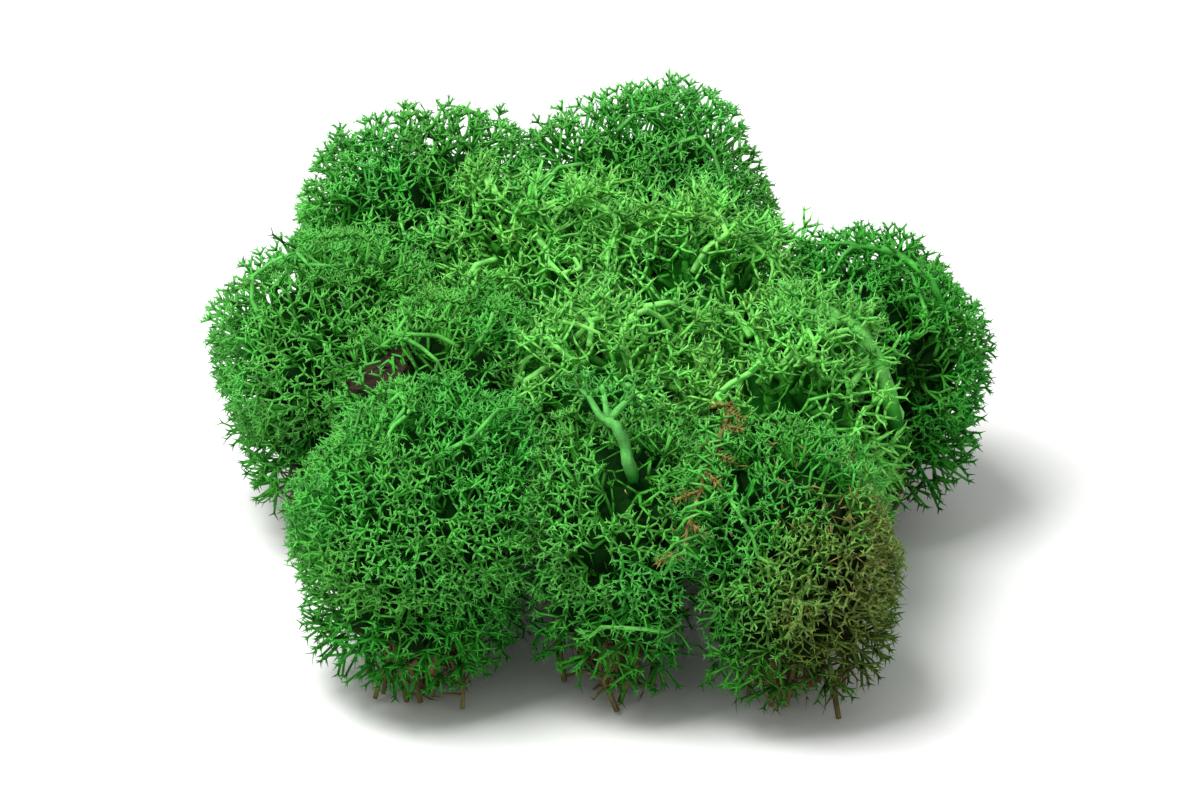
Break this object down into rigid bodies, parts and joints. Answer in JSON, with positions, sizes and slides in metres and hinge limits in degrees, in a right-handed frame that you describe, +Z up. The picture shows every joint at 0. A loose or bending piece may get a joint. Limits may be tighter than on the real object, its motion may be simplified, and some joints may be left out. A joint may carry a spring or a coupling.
{
  "type": "reindeer moss clump",
  "caption": "Dyed green clump of preserved reindeer lichen: dense forking heads on bare stalks, with a dry heather sprig and a flake of bark caught between them.",
  "frame": {"origin": "middle of the clump's footprint, on the surface it rests on", "axes": "+Z up, +X to the right and +Y to the back as seen from the side shown first"},
  "size_m": [0.116, 0.1208, 0.0532],
  "materials": {
    "lichen_emerald": "soft matte dyed lichen, dense",
    "lichen_leaf_green": "soft matte dyed lichen, open net",
    "dry_heather": "dry, matte",
    "dark_bark": "rough, matte"
  },
  "bodies": {
    "root": {"head_back_left": "lichen_emerald", "head_back": "lichen_emerald", "head_middle": "lichen_leaf_green", "head_right": "lichen_emerald", "head_centre_right": "lichen_leaf_green", "head_left": "lichen_emerald", "head_centre_left": "lichen_emerald", "head_centre": "lichen_leaf_green", "head_front_right": "lichen_leaf_green", "head_front_left": "lichen_emerald", "head_front": "lichen_emerald", "head_corner": "lichen_emerald", "heather_sprig": "dry_heather", "bark_flake": "dark_bark"}
  },
  "joints": []
}
